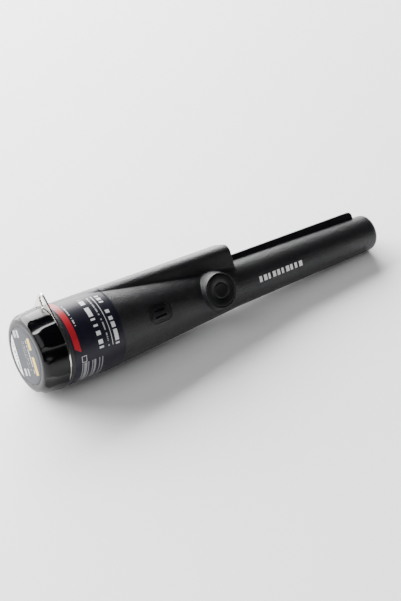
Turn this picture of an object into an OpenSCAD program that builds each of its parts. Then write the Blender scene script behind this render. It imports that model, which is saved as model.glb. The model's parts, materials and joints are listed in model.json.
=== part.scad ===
// Pinpointer probe: a tapering hand-held metal locator with a screw cap, a side
// button, a sounder grille, a top fairing with a lamp, and a scraper blade.
// The tool is drawn along +X with its button towards -Y and its blade towards +Z.
// placed() then rolls it over and lays it on the ground, resting on grip and tip.

/* [Overall] */
// Length from the cap's end to the probe's tip
tool_l = 230; // [222:1:262]
// How far the tool is rolled back as it lies, in degrees
lying_roll = 33; // [0:1:50]

/* [Cap] */
// Length of the screw cap
cap_l = 14; // [13:0.5:17]
// Radius of the cap at its front rim
cap_r = 22.4; // [22:0.1:24.5]
// Radius of the cap behind its rounded edge
cap_rear_r = 21.5; // [21:0.1:22]
// Radius of the cap's rounded rear edge
cap_edge_r = 4.1; // [2:0.1:4.5]
// Depth of the finger flutes
flute_depth = 0.8; // [0.4:0.1:1]
// Radius of a finger flute's hollow
flute_r = 8; // [6:0.5:12]
// Number of finger flutes
flute_count = 8; // [6:1:12]
// Radius of the recess that holds the end label
end_recess_r = 16; // [12:0.5:16.5]
// Pitch of the cap's thread
thread_pitch = 3; // [2.5:0.25:3.5]
// Height of the thread above its root
thread_h = 0.8; // [0.6:0.1:0.9]

/* [Lanyard ring] */
// Thickness of the stamped ring
ring_t = 1.2; // [0.8:0.1:2]
// Outer radius of the stamped ring
ring_r = 21.2; // [20.5:0.1:22]
// Distance from the tool's axis to the eye in the ear
eye_offset = 26.4; // [25.5:0.1:28]
// Radius of the eye
eye_r = 2.2; // [1.8:0.1:2.4]
// Width of metal round the eye
ear_wall = 1.8; // [1.2:0.1:2.4]
// Angle of the ear from the button towards the blade
ear_angle = 75; // [60:1:100]

/* [Body] */
// Radius of the grip next to the ring
grip_r = 21.6; // [21.2:0.1:23]
// Length of the straight part of the grip
grip_l = 24.6; // [20:0.1:30]
// Radius of the probe at the fairing's front
probe_r = 12.9; // [12.5:0.1:14]
// Radius of the probe at its tip
tip_r = 10.45; // [10.4:0.05:12]
// Radius of the rounded tip
tip_edge_r = 3.5; // [2:0.1:4.5]
// Length of the probe in front of the fairing
probe_l = 98.5; // [94:0.5:118]
// Radius of the bore for the battery
battery_bore_r = 16.3; // [16.3:0.1:16.6]
// Radius of the bore for the search coil
coil_bore_r = 8.2; // [8.1:0.05:8.3]
// How far the probe's axis drops below the grip's axis at the fairing
axis_drop = 1.7; // [0:0.1:2]

/* [Fairing and blade] */
// Height of the fairing's top above the grip's axis
fairing_top = 20.3; // [19.6:0.1:20.5]
// Half width of the fairing
fairing_half_w = 9.4; // [8:0.1:10.5]
// Radius of the fairing's upper edges
fairing_edge_r = 4.9; // [3:0.1:6]
// Thickness of the scraper blade
blade_t = 3; // [2.5:0.1:4]
// Height of the blade's edge above the grip's axis at the fairing
blade_top = 14.1; // [13.5:0.1:14.6]
// How much higher the blade's front end is
blade_rise = 0.6; // [0:0.1:2]
// Distance from the blade's front end to the tool's tip
blade_setback = 9; // [6:0.5:14]
// Depth of the slot that holds the blade
blade_slot = 1.4; // [1:0.1:1.8]

/* [Button] */
// Distance of the button in front of the cap's end
button_x = 112.4; // [110:0.1:114]
// Radius of the button
button_r = 8.8; // [8:0.1:9.2]
// Gap between the button and its collar
button_gap = 0.25; // [0.2:0.05:0.35]
// Height of the button's face from the grip's axis
button_y = 18.9; // [18:0.1:20.5]
// Travel of the button
button_travel = 0.6; // [0.3:0.05:0.8]
// Width of the collar's land round the button
collar_land = 0.95; // [0.7:0.05:1.5]
// How far the collar's foot spreads
collar_flare = 2.2; // [1:0.1:2.6]

/* [Grille] */
// Distance of the grille's middle from the cap's end
grille_x = 73; // [70:0.5:78]
// Length of the grille plate
grille_l = 13; // [10:0.5:14]
// Width of the grille plate
grille_w = 9.6; // [8:0.2:11]
// Thickness of the grille plate
grille_t = 1.4; // [1:0.1:1.8]
// Length of a sound slot
slot_l = 7.4; // [5:0.2:8]
// Width of a sound slot
slot_w = 1.3; // [0.8:0.1:1.6]
// Distance between the sound slots
slot_pitch = 3.2; // [2.6:0.1:4]

/* [Electronics] */
// Length of the battery without its studs
battery_l = 46.4; // [46:0.1:47]
// Battery's larger side
battery_w = 26.2; // [25.5:0.1:26.2]
// Battery's smaller side
battery_h = 17.2; // [16.5:0.1:17.2]
// Width of the circuit board
board_w = 18; // [16:0.5:18.5]
// Length of the circuit board
board_l = 58; // [56:0.5:60]
// Thickness of the circuit board
board_t = 1.2; // [1:0.1:1.6]
// Length of the ferrite rod
ferrite_l = 68; // [50:1:70]
// Radius of the ferrite rod
ferrite_r = 4; // [3:0.1:4.5]

/* [Hidden] */
$fn = 96;
eps = 0.01;

// clearances
turn_gap = 0.1;      // between pieces that turn on each other
fit_gap = 0.05;      // round a pin that turns
seat_gap = 0.1;      // round a piece that is let in
film_gap = 0.02;     // of glue under a film
thread_gap = 0.25;   // between the crest of one thread and the root of the other
bore_gap = 0.2;      // round a piece that slides into a bore

// stations along the tool, from the cap's end
neck_x = 5;
ring_x = cap_l + turn_gap;
body_x = ring_x + ring_t + turn_gap;
grip_x = body_x + grip_l;
label_x = body_x + 1.6;
label_end_x = grip_x + 8.5;
fairing_x = grip_x + 4;
face_x = tool_l - probe_l - 1;
tip_x = tool_l - tip_edge_r;

// neck and label
neck_r = cap_rear_r - 3.6;
shoulder_r = neck_r + 0.5;
shoulder_l = 1.4;
seal_w = 1.8;
seal_depth = 0.6;
seal_r = 0.72;
label_t = 0.12;

// cap
cap_web = 2.6;
cap_rim = 0.5;
cap_bore_r = neck_r + thread_h + 0.4;
label_recess = 0.5;
end_film_t = 0.3;
boss_r = 2.4;
taper_l = cap_l - 1 - cap_edge_r;
cap_slope = (cap_r - cap_rear_r) / taper_l;
ear_r = eye_r + ear_wall;

// the taper and the probe are cones whose centre lines meet below the grip's axis at face_x
function taper_point(x) = [x, -axis_drop * (x - grip_x) / (face_x - grip_x)];
function probe_point(x) = [x, -axis_drop * (tip_x - x) / (tip_x - face_x)];
function taper_r_at(x) = grip_r + (probe_r - grip_r) * (x - grip_x) / (face_x - grip_x);
function probe_r_at(x) = probe_r + (tip_r - probe_r) * (x - face_x) / (tip_x - face_x);
function axis_point(x) = x < grip_x ? [x, 0] : x < face_x ? taper_point(x) : probe_point(x);
function drop_at(x) = axis_point(x)[1];

// battery bay
bay_front_x = 60;
disc_t = 1.5;
disc_x = cap_web + 0.3;
foam_x = disc_x + disc_t;
battery_x = 7;
battery_edge_r = 1.6;
stud_l = 2.8;
stud_pitch = 12.7;
stud_r = 2.85;
socket_r = 4.3;
socket_wall = 0.4;
snap_x = battery_x + battery_l + 0.5;
plate_x = battery_x + battery_l + stud_l + 1;
plate_t = 1.2;
flange_x = plate_x + plate_t;

// cavity in front of the bay
cavity_x = face_x - 3.6;
cavity_r0 = 15.6;
cavity_r1 = 10;
cavity_lap = 0.6;
tip_wall = 2.5;

// circuit board and what it carries
board_x = bay_front_x + 4;
board_end = board_x + board_l;
board_z = drop_at(button_x);
board_top = board_t / 2;
screw_r = 0.95;
screw_head_r = 1.9;
screw_head_h = 1.3;
screw_l = 6;
screw_at = [[board_x + 2.2, board_z + board_w / 2 - 2.2], [board_end - 3.5, board_z - board_w / 2 + 2.2]];
driver_w = 0.5;
pocket_x = bay_front_x + 10;
pocket_l = 44;
pocket_w = 13;
pocket_depth = 8.2;
capacitor_r = 2.4;
capacitor_l = 8;
capacitor_z = 3;
grille_base = taper_r_at(grille_x) - 5;
sounder_r = 6;
sounder_h = 9.5;
gasket_h = 2.2;
gasket_wall = 1.8;
port_r = 1.2;
motor_r = 3.5;
motor_l = 12;
motor_x = 92;
motor_y = board_top + 0.3 + motor_r;
shaft_r = 0.5;
weight_r = 3;
weight_l = 4;
weight_gap = 1;
clip_wall = 1.2;
rotor_r = 1.4;
rotor_h = 1.3;
trimmer_x = 90;
trimmer_z = 4.6;
trimmer_w = 4;
trimmer_h = 2.2;
wire_r = 0.6;
battery_lead_z = 2.6;
coil_lead_z = 2.4;

// button and switch
boot_t = 3.2;
boot_groove_r = 4.6;
boot_groove = 0.45;
socket_depth = 1.2;
collar_base = 6;
collar_step = 0.2;
stem_r = 2.6;
stem_gap = 0.1;
switch_w = 6;
switch_h = 3.5;
plunger_r = 1.7;
plunger_x = board_top + 1.6;
plunger_base = plunger_x + button_travel + 0.2;
plunger_end = board_top + 9.5;

// lamp
lamp_r = 1.5;
lamp_base_l = 1;
lamp_l = 5.8;
lamp_z = (fairing_top + blade_top) / 2 - 0.1;
lens_r = (fairing_top - blade_top) / 2 - 0.6;
lamp_x = face_x - 11;
lens_t = 1.8;
lens_dome = 1.2;
lead_r = 0.35;
lead_x = lamp_x - 1.2;
lead_y = board_top + lead_r + 0.02;
lead_end = board_z + board_w / 2 - 1.5;
passage_r = 1.9;

// search coil
potting_x = face_x + 0.6;
potting_l = 3;
coil_x0 = face_x + 5;
coil_x1 = tip_x - 8;
coil_mid = (coil_x0 + coil_x1) / 2;
cheek_t = 1.2;
spool_r = ferrite_r + 0.9;
transmit_r = spool_r + 1.7;
receive_r = spool_r + 2.3;

// resting place: the grip's label and the tip touch the ground
rest_tilt = atan((grip_r + label_t - tip_r) / (tip_x - grip_x));
rest_z = (grip_r + label_t) * cos(rest_tilt) + grip_x * sin(rest_tilt);
front_reach = tip_x * cos(rest_tilt) + (tip_r - tip_edge_r) * sin(rest_tilt) + tip_edge_r;
rear_reach = (cap_rear_r - cap_edge_r) * sin(rest_tilt) + cap_edge_r * (1 - cos(rest_tilt));
rest_x = (front_reach - rear_reach) / 2;
ear_lean = eye_offset * sin(ear_angle - 90 + lying_roll);
rest_y = (max(cap_r, ear_r + ear_lean) - max(cap_r, ear_r - ear_lean)) / 2;

module placed() {
    translate([-rest_x, -rest_y, rest_z])
        rotate([0, rest_tilt, 0]) rotate([-lying_roll, 0, 0]) children();
}
// a straight cylinder or cone along the tool
module along(x0, x1, r0, r1 = undef) {
    translate([x0, 0, 0]) rotate([0, 90, 0])
        cylinder(h = x1 - x0, r1 = r0, r2 = is_undef(r1) ? r0 : r1);
}
// a cone between two stations [x, z] of the centre line
module between(p0, r0, p1, r1) {
    translate([p0[0], 0, p0[1]]) rotate([0, atan2(p1[0] - p0[0], p1[1] - p0[1]), 0])
        cylinder(h = norm(p1 - p0), r1 = r0, r2 = r1);
}
// turns a profile of [distance along the tool, radius] round the grip's axis
module turned() {
    rotate([0, 90, 0]) rotate([0, 0, 90]) rotate_extrude() rotate([0, 0, 90]) mirror([0, 1, 0]) children();
}
// a rounded oblong, centred
module oblong(l, w, r) {
    square([l - 2 * r, w], center = true);
    square([l, w - 2 * r], center = true);
    for (x = [-1, 1], y = [-1, 1]) translate([x * (l / 2 - r), y * (w / 2 - r)]) circle(r = r);
}
// something drawn in the plane that faces the button, at a depth from the axis
module facing_button(x, z, depth, h) {
    translate([x, -depth, z]) rotate([90, 0, 0]) linear_extrude(h) children();
}
// turns a shape from the button's direction towards the blade
module towards(angle) {
    rotate([90 - angle, 0, 0]) children();
}
// a coil-shaped ridge for the cap's thread, from one radius to another
module thread_ridge(x0, turns, r_root, r_crest) {
    steps = 36;
    count = steps * turns;
    half_root = 0.62;
    half_crest = 0.34;
    profile = [[-half_root, r_root], [-half_crest, r_crest], [half_crest, r_crest], [half_root, r_root]];
    points = [for (i = [0:count], p = profile)
        let (a = 360 * i / steps) [x0 + thread_pitch * i / steps + p[0], p[1] * cos(a), p[1] * sin(a)]];
    flip = r_crest < r_root;
    sides = [for (i = [0:count - 1], j = [0:3])
        let (a = 4 * i + j, b = 4 * i + (j + 1) % 4) flip ? [a, a + 4, b + 4, b] : [a, b, b + 4, a + 4]];
    start = flip ? [0, 1, 2, 3] : [3, 2, 1, 0];
    finish = [for (j = [0:3]) 4 * count + (flip ? 3 - j : j)];
    polyhedron(points, concat(sides, [start, finish]), convexity = 6);
}

module taper_cone(x0, x1, grow = 0) {
    between(taper_point(x0), taper_r_at(x0) + grow, taper_point(x1), taper_r_at(x1) + grow);
}
// the grip and its taper, made thicker all over by grow
module grip_solid(x0, x1, grow = 0) {
    intersection() {
        along(x0, x1, grip_r + grow);
        taper_cone(x0 - 5, x1 + 1, grow);
    }
}
module body_outline() {
    grip_solid(body_x, face_x + 2);
    between(probe_point(face_x - 1), probe_r_at(face_x - 1), probe_point(tip_x), tip_r);
    tip_cap();
}
module tip_cap() {
    translate([tip_x, 0, 0]) rotate([0, atan2(tip_x - face_x, axis_drop), 0]) rotate_extrude() {
        translate([0, -eps]) square([tip_r - tip_edge_r, tip_edge_r + eps]);
        intersection() {
            translate([tip_r - tip_edge_r, 0]) circle(r = tip_edge_r);
            square([tip_r, tip_edge_r]);
        }
    }
}
module fairing() {
    translate([fairing_x, 0, 0]) rotate([90, 0, 90]) linear_extrude(face_x - fairing_x) {
        translate([-fairing_half_w, 0]) square([2 * fairing_half_w, fairing_top - fairing_edge_r]);
        translate([0, fairing_top - fairing_edge_r])
            square([2 * (fairing_half_w - fairing_edge_r), 2 * fairing_edge_r], center = true);
        for (s = [-1, 1]) translate([s * (fairing_half_w - fairing_edge_r), fairing_top - fairing_edge_r])
            circle(r = fairing_edge_r);
    }
}
module button_collar() {
    outer = button_r + button_gap + collar_land;
    foot = 3;
    lip = 1.2;
    rotate([90, 0, 0]) translate([button_x, 0, collar_base]) {
        cylinder(h = button_y - collar_base - collar_step, r = outer);
        translate([0, 0, foot])
            cylinder(h = button_y - collar_base - foot - lip, r1 = outer + collar_flare, r2 = outer);
    }
}
module blade_profile() {
    // side view of the blade: straight edge, rounded front end, and a root in the slot
    end_x = tool_l - blade_setback;
    end_top = blade_top + blade_rise;
    heel_x = face_x - 3;
    nose_r = 2.4;
    heel_root = drop_at(face_x) + probe_r - blade_slot;
    end_root = drop_at(end_x) + probe_r_at(end_x) - blade_slot;
    polygon([[heel_x, heel_root], [end_x, end_root], [end_x, end_top - nose_r],
             [end_x - nose_r, end_top], [heel_x, blade_top]]);
    intersection() {
        translate([end_x - nose_r, end_top - nose_r]) circle(r = nose_r);
        translate([end_x - nose_r, end_top - nose_r]) square(nose_r);
    }
}
module blade_solid() {
    translate([0, blade_t / 2, 0]) rotate([90, 0, 0]) linear_extrude(blade_t) blade_profile();
}
module grille_outline(grow) {
    corner_r = 2.2;
    oblong(grille_l + 2 * grow, grille_w + 2 * grow, corner_r + grow);
}
// a layer under the tapering surface, from one depth to a shallower one
module skin_layer(deep, shallow) {
    difference() {
        taper_cone(fairing_x, face_x, -shallow);
        taper_cone(fairing_x - 1, face_x + 1, -deep);
    }
}

module body_shell() color("#26262a") placed() difference() {
    union() {
        body_outline();
        fairing();
        button_collar();
        along(neck_x, body_x + eps, neck_r);
        along(body_x - shoulder_l, body_x + eps, shoulder_r);
        thread_ridge(neck_x + 1.4, 1.5, neck_r - 0.3, neck_r + thread_h);
    }
    along(neck_x - 1, bay_front_x, battery_bore_r);
    between([bay_front_x - cavity_lap, 0], cavity_r0, axis_point(cavity_x), cavity_r1);
    between(probe_point(cavity_x - 1), coil_bore_r, probe_point(tip_x - tip_wall), coil_bore_r);
    // seal groove round the neck
    difference() {
        along(body_x - shoulder_l - seal_w, body_x - shoulder_l, neck_r + 2);
        along(body_x - shoulder_l - seal_w - 1, body_x, neck_r - seal_depth);
    }
    // button well
    rotate([90, 0, 0]) translate([button_x, 0, 0]) {
        translate([0, 0, button_y - boot_t - button_travel - bore_gap])
            cylinder(h = 10, r = button_r + button_gap);
        translate([0, 0, collar_base - 1]) cylinder(h = 12, r = stem_r + 2 * bore_gap);
    }
    // grille pocket with its sound port
    intersection() {
        facing_button(grille_x, 0, grille_base, 10) grille_outline(seat_gap);
        skin_layer(grille_t, -3);
    }
    facing_button(grille_x, 0, 8, 12) oblong(slot_l + 1, slot_pitch + slot_w + 1, 1);
    // lamp bore, lens seat and lead passage
    translate([0, 0, lamp_z]) {
        along(lamp_x - 2.5, face_x + 1, lamp_r + bore_gap);
        along(face_x - lens_t, face_x + 1, lens_r);
    }
    translate([lead_x, 0, collar_base - 1]) cylinder(h = lamp_z - collar_base + 1, r = passage_r);
    blade_solid();
}

module scraper_blade() color("#1d1d20") placed() blade_solid();

module body_label() color("#23222f") placed() difference() {
    grip_solid(label_x, label_end_x, label_t);
    grip_solid(label_x - 1, label_end_x + 1, film_gap);
    fairing();
}

module speaker_grille() color("#222226") placed() intersection() {
    groove_depth = 0.75;
    difference() {
        facing_button(grille_x, 0, grille_base, 10) grille_outline(0);
        for (s = [-1, 1]) facing_button(grille_x, s * slot_pitch / 2, 5, 20)
            oblong(slot_l, slot_w, slot_w / 2 - eps);
        // shallow groove round the plate's edge
        facing_button(grille_x, 0, taper_r_at(grille_x) - groove_depth, 5) difference() {
            grille_outline(-0.7);
            grille_outline(-1.1);
        }
    }
    skin_layer(grille_t - fit_gap, seat_gap);
}

module lamp_lens() color("#dfe8ee", 0.5) placed() translate([face_x, 0, lamp_z]) {
    ball_r = (lens_r * lens_r + lens_dome * lens_dome) / (2 * lens_dome);
    rotate([0, 90, 0]) rotate_extrude() {
        translate([0, -lens_t]) square([lens_r, lens_t]);
        intersection() {
            translate([0, lens_dome - ball_r]) circle(r = ball_r);
            square([lens_r, lens_dome]);
        }
    }
}
module lamp() color("#f4f6f2") placed() translate([lamp_x, 0, lamp_z]) {
    along(0, lamp_base_l, lamp_r + seat_gap);
    along(lamp_base_l, lamp_l, lamp_r);
    translate([lamp_l, 0, 0]) sphere(r = lamp_r);
}
module lamp_leads() color("#c8c9cc") placed() for (s = [-1, 1])
    translate([lead_x, s * lead_y, 0]) {
        translate([0, 0, lead_end]) cylinder(h = lamp_z - lead_end, r = lead_r, $fn = 24);
        translate([0, 0, lamp_z]) sphere(r = lead_r, $fn = 24);
        translate([0, 0, lamp_z]) along(0, lamp_x - lead_x, lead_r, $fn = 24);
    }

module button_boot() color("#2b2b2e") placed() rotate([90, 0, 0]) translate([button_x, 0, 0]) {
    difference() {
        translate([0, 0, button_y - boot_t]) cylinder(h = boot_t, r = button_r);
        translate([0, 0, button_y - boot_groove]) difference() {
            cylinder(h = 1, r = boot_groove_r);
            cylinder(h = 3, r = boot_groove_r - boot_groove, center = true);
        }
        translate([0, 0, button_y - boot_t - eps]) cylinder(h = socket_depth + eps, r = stem_r + eps);
    }
}
module button_stem() color("#e6e3da") placed() rotate([90, 0, 0]) translate([button_x, 0, 0]) {
    base = plunger_end + stem_gap;
    translate([0, 0, base])
        cylinder(h = button_y - boot_t + socket_depth - base, r = stem_r - seat_gap);
}
module switch_case() color("#38383c") placed() translate([button_x, 0, 0]) difference() {
    translate([-switch_w / 2, -board_top - switch_h, -switch_w / 2]) cube([switch_w, switch_h, switch_w]);
    rotate([90, 0, 0]) translate([0, 0, plunger_x]) cylinder(h = switch_h, r = plunger_r + fit_gap);
}
module switch_plunger() color("#8c8f94") placed() rotate([90, 0, 0]) translate([button_x, 0, plunger_base])
    cylinder(h = plunger_end - plunger_base, r = plunger_r);

module cap_profile() {
    polygon([[0, 0], [0, cap_rear_r - cap_edge_r], [cap_edge_r, cap_rear_r],
             [cap_l - 2 * cap_rim, cap_r], [cap_l - cap_rim / 2, cap_r - cap_rim / 4],
             [cap_l, cap_r - cap_rim], [cap_l, 0]]);
    intersection() {
        translate([cap_edge_r, cap_rear_r - cap_edge_r]) circle(r = cap_edge_r);
        translate([0, cap_rear_r - cap_edge_r]) square(cap_edge_r);
    }
}
module cap() color("#1e1e21") placed() difference() {
    union() {
        turned() difference() {
            cap_profile();
            polygon([[-1, -1], [label_recess, -1], [label_recess, end_recess_r], [-1, end_recess_r]]);
            polygon([[cap_web, -1], [cap_l + 1, -1], [cap_l + 1, cap_bore_r], [cap_web, cap_bore_r]]);
        }
        along(cap_web - eps, disc_x + disc_t - bore_gap, boss_r);
        thread_ridge(neck_x - 0.1, 1.5, cap_bore_r + 0.3, neck_r + thread_gap);
    }
    for (k = [0:flute_count - 1]) towards(k * 360 / flute_count) {
        base = cap_rear_r - flute_depth + flute_r;
        between([-2, base - (cap_edge_r + 2) * cap_slope], flute_r,
                [cap_l + 2, base + (cap_l + 2 - cap_edge_r) * cap_slope], flute_r);
    }
}
module end_label() color("#39414b") placed()
    along(label_recess - end_film_t, label_recess, end_recess_r - seat_gap);
module cap_seal() color("#151517") placed() translate([body_x - shoulder_l - seal_w / 2, 0, 0])
    rotate([0, 90, 0]) rotate_extrude() translate([neck_r - seal_depth + seal_r, 0])
        circle(r = seal_r, $fn = 24);
module pressure_disc() color("#d9d6cc") placed() difference() {
    along(disc_x, disc_x + disc_t, neck_r - 4 * bore_gap);
    along(disc_x - 1, disc_x + disc_t + 1, boss_r + fit_gap);
}
module foam_pad() color("#3a3a3c") placed() difference() {
    along(foam_x, battery_x - fit_gap, battery_bore_r - 4 * bore_gap);
    along(foam_x - 1, battery_x + 1, boss_r + 3 * bore_gap);
}

module lanyard_ring() color("#d5d8dc") placed() towards(ear_angle) {
    slot_in = 2.5;
    slot_r = 1.35;
    bite = 0.03;
    reach = acos((ring_r - ear_r) / eye_offset);
    front = ring_x + ring_t;
    ring_flank = (ring_r - bite) * [cos(90 - reach), sin(90 - reach)];
    ear_flank = [0, eye_offset] + (ear_r - bite) * [cos(90 - reach), sin(90 - reach)];
    difference() {
        union() {
            along(ring_x, front, ring_r);
            translate([0, 0, eye_offset]) along(ring_x, front, ear_r);
            translate([ring_x, 0, 0]) rotate([90, 0, 90]) linear_extrude(ring_t)
                polygon([ring_flank, ear_flank, [-ear_flank[0], ear_flank[1]],
                         [-ring_flank[0], ring_flank[1]]]);
        }
        along(ring_x - 1, front + 1, shoulder_r + turn_gap);
        translate([0, 0, eye_offset]) along(ring_x - 1, front + 1, eye_r);
        translate([0, 0, eye_offset - slot_in]) along(ring_x - 1, front + 1, slot_r);
        translate([ring_x - 1, -slot_r, eye_offset - slot_in]) cube([ring_t + 2, 2 * slot_r, slot_in]);
    }
}

module battery() color("#26323c") placed() translate([battery_x, 0, 0]) rotate([90, 0, 90])
    linear_extrude(battery_l) oblong(battery_h, battery_w, battery_edge_r);
module battery_studs() color("#c9cacc") placed() translate([battery_x + battery_l, 0, 0]) {
    translate([0, 0, stud_pitch / 2]) along(0, stud_l, stud_r);
    translate([0, 0, -stud_pitch / 2]) difference() {
        along(0, stud_l, socket_r);
        along(socket_wall, stud_l + 1, stud_r + fit_gap);
    }
}
module contact_plate() color("#7b5a32") placed() along(plate_x, flange_x, battery_bore_r - bore_gap);
module snap_contacts() color("#cfd0d2") placed() translate([snap_x, 0, 0]) {
    reach = plate_x - snap_x;
    translate([0, 0, -stud_pitch / 2]) along(0, reach, stud_r);
    translate([0, 0, stud_pitch / 2]) difference() {
        along(0, reach, socket_r);
        along(-1, reach - socket_wall, stud_r + fit_gap);
    }
}
module battery_leads() color("#a3262a") placed() for (s = [-1, 1])
    translate([0, -board_top - wire_r, board_z + s * battery_lead_z])
        along(flange_x, board_x + 2.5, wire_r, $fn = 24);

module board_sled() color("#303236") placed() difference() {
    back = cavity_x - 1.5;
    union() {
        along(flange_x, bay_front_x, battery_bore_r - seat_gap);
        intersection() {
            between([bay_front_x - cavity_lap, 0], cavity_r0 - bore_gap,
                    axis_point(cavity_x), cavity_r1 - bore_gap);
            translate([bay_front_x - 1, board_top, -20]) cube([back - bay_front_x + 1, 30, 40]);
        }
    }
    translate([pocket_x, 0, board_z - pocket_w / 2]) cube([pocket_l, pocket_depth, pocket_w]);
    // window in the flange for the leads
    translate([flange_x - 1, 4 - battery_bore_r, -8]) cube([bay_front_x - flange_x + 2, 13.2, 16]);
    for (p = screw_at) translate([p[0], 0, p[1]]) rotate([-90, 0, 0]) cylinder(h = screw_l, r = screw_r);
    translate([lead_x, 0, collar_base - 1]) cylinder(h = 9, r = passage_r + 2 * bore_gap);
}
module sled_screws() color("#b9bbbe") placed() for (p = screw_at)
    translate([p[0], -board_top, p[1]]) rotate([90, 0, 0]) difference() {
        union() {
            cylinder(h = screw_head_h, r = screw_head_r);
            translate([0, 0, -screw_l]) cylinder(h = screw_l, r = screw_r);
        }
        for (a = [0, 90]) rotate([0, 0, a])
            translate([-1.2, -driver_w / 2, 0.7]) cube([2.4, driver_w, screw_head_h]);
    }

module circuit_board() color("#1f5a38") placed() difference() {
    translate([board_x, -board_top, board_z - board_w / 2]) cube([board_l, board_t, board_w]);
    for (p = screw_at) translate([p[0], 2, p[1]]) rotate([90, 0, 0]) cylinder(h = 4, r = screw_r + fit_gap);
}
module on_board(x, z, size, h) {
    translate([x - size[0] / 2, -board_top - h, board_z + z - size[1] / 2]) cube([size[0], h, size[1]]);
}
module controller_chip() color("#1b1b1d") placed() on_board(100.5, 0.5, [7, 7], 1);
module amplifier_chip() color("#1b1b1d") placed() on_board(83.5, -5, [5, 4], 1.5);
module crystal() color("#c6c7c9") placed() on_board(101, 6.6, [5, 2.4], 1.2);
module chip_resistors() color("#2a2a2c") placed() for (i = [0:5])
    on_board(92 + 2.4 * i, -6.4, [1, 1.9], 0.5);
module capacitors() color("#2f4a6b") placed() for (s = [-1, 1])
    translate([pocket_x + 1, board_top + capacitor_r + seat_gap, board_z + s * capacitor_z])
        along(0, capacitor_l, capacitor_r);
module trimmer_body() color("#2c5fa3") placed() difference() {
    on_board(trimmer_x, trimmer_z, [trimmer_w, trimmer_w], trimmer_h);
    translate([trimmer_x, -board_top - 1, board_z + trimmer_z]) rotate([90, 0, 0])
        cylinder(h = trimmer_h, r = rotor_r + fit_gap);
}
module trimmer_rotor() color("#d8c26a") placed()
    translate([trimmer_x, -board_top - 1 - fit_gap, board_z + trimmer_z]) rotate([90, 0, 0]) difference() {
        cylinder(h = rotor_h, r = rotor_r);
        translate([-rotor_r - 1, -driver_w / 2, rotor_h - 0.5]) cube([2 * rotor_r + 2, driver_w, 1]);
    }
module sounder() color("#232325") placed() rotate([90, 0, 0])
    translate([grille_x, 0, board_top]) difference() {
        cylinder(h = sounder_h, r = sounder_r);
        translate([0, 0, sounder_h - 2]) cylinder(h = 3, r = port_r);
    }
module sounder_gasket() color("#4a4a4c") placed() rotate([90, 0, 0])
    translate([grille_x, 0, board_top + sounder_h]) difference() {
        cylinder(h = gasket_h, r = sounder_r);
        translate([0, 0, -1]) cylinder(h = gasket_h + 2, r = sounder_r - gasket_wall);
    }

module motor_can() color("#b7b9bc") placed() translate([0, motor_y, board_z]) difference() {
    along(motor_x, motor_x + motor_l, motor_r);
    along(motor_x - 1, motor_x + 3, shaft_r + fit_gap);
}
module motor_clip() color("#26262a") placed() difference() {
    translate([motor_x + motor_l / 4, board_top, board_z - motor_r - clip_wall])
        cube([motor_l / 2, 1.2 * motor_r, 2 * (motor_r + clip_wall)]);
    translate([0, motor_y, board_z]) along(motor_x, motor_x + motor_l, motor_r);
}
module motor_weight() color("#9a9ca0") placed() translate([0, motor_y, board_z]) {
    back = motor_x - weight_gap - weight_l;
    difference() {
        along(back, motor_x - weight_gap, weight_r);
        translate([back - 1, -weight_r - 1, shaft_r + seat_gap])
            cube([weight_l + 2, 2 * weight_r + 2, weight_r]);
    }
    along(back, motor_x + 2.6, shaft_r);
}

// pieces on the probe's own axis
module coil_tube(x0, x1, r_out, r_in) {
    difference() {
        between(axis_point(x0), r_out, axis_point(x1), r_out);
        between(axis_point(x0 - 1), r_in, axis_point(x1 + 1), r_in);
    }
}
module coil_leads_route() {
    for (s = [-1, 1]) translate([0, -board_top - wire_r, board_z + s * coil_lead_z])
        along(board_end - 3, coil_x0 - seat_gap, wire_r, $fn = 24);
}
module potting_plug() color("#3b2f22") placed() difference() {
    between(axis_point(potting_x), coil_bore_r - fit_gap,
            axis_point(potting_x + potting_l), coil_bore_r - fit_gap);
    coil_leads_route();
}
module coil_leads() color("#b5702a") placed() coil_leads_route();
module coil_former() color("#cfc9b8") placed() difference() {
    cheek_r = coil_bore_r - bore_gap;
    union() {
        between(axis_point(coil_x0 + 1), spool_r, axis_point(coil_x1 - 1), spool_r);
        for (x = [coil_x0, coil_mid - cheek_t / 2, coil_x1 - cheek_t])
            between(axis_point(x), cheek_r, axis_point(x + cheek_t), cheek_r);
    }
    between(axis_point(coil_x0 - 1), ferrite_r + seat_gap, axis_point(coil_x1 + 1), ferrite_r + seat_gap);
}
module ferrite_rod() color("#3a3b3d") placed()
    between(axis_point(coil_mid - ferrite_l / 2), ferrite_r, axis_point(coil_mid + ferrite_l / 2), ferrite_r);
module transmit_coil() color("#b06a2c") placed()
    coil_tube(coil_x0 + cheek_t, coil_mid - cheek_t / 2, transmit_r, spool_r + fit_gap);
module receive_coil() color("#c07a34") placed()
    coil_tube(coil_mid + cheek_t / 2, coil_x1 - cheek_t, receive_r, spool_r + fit_gap);
module tip_foam() color("#5a5a5c") placed()
    between(axis_point(coil_x1 + seat_gap), coil_bore_r - seat_gap,
            axis_point(tip_x - tip_wall - seat_gap), coil_bore_r - seat_gap);

body_shell();
scraper_blade();
body_label();
speaker_grille();
lamp_lens();
lamp();
lamp_leads();
button_boot();
button_stem();
switch_case();
switch_plunger();
cap();
end_label();
cap_seal();
pressure_disc();
foam_pad();
lanyard_ring();
battery();
battery_studs();
contact_plate();
snap_contacts();
battery_leads();
board_sled();
sled_screws();
circuit_board();
controller_chip();
amplifier_chip();
capacitors();
chip_resistors();
crystal();
trimmer_body();
trimmer_rotor();
sounder();
sounder_gasket();
motor_can();
motor_clip();
motor_weight();
potting_plug();
coil_former();
ferrite_rod();
transmit_coil();
receive_coil();
coil_leads();
tip_foam();
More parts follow.
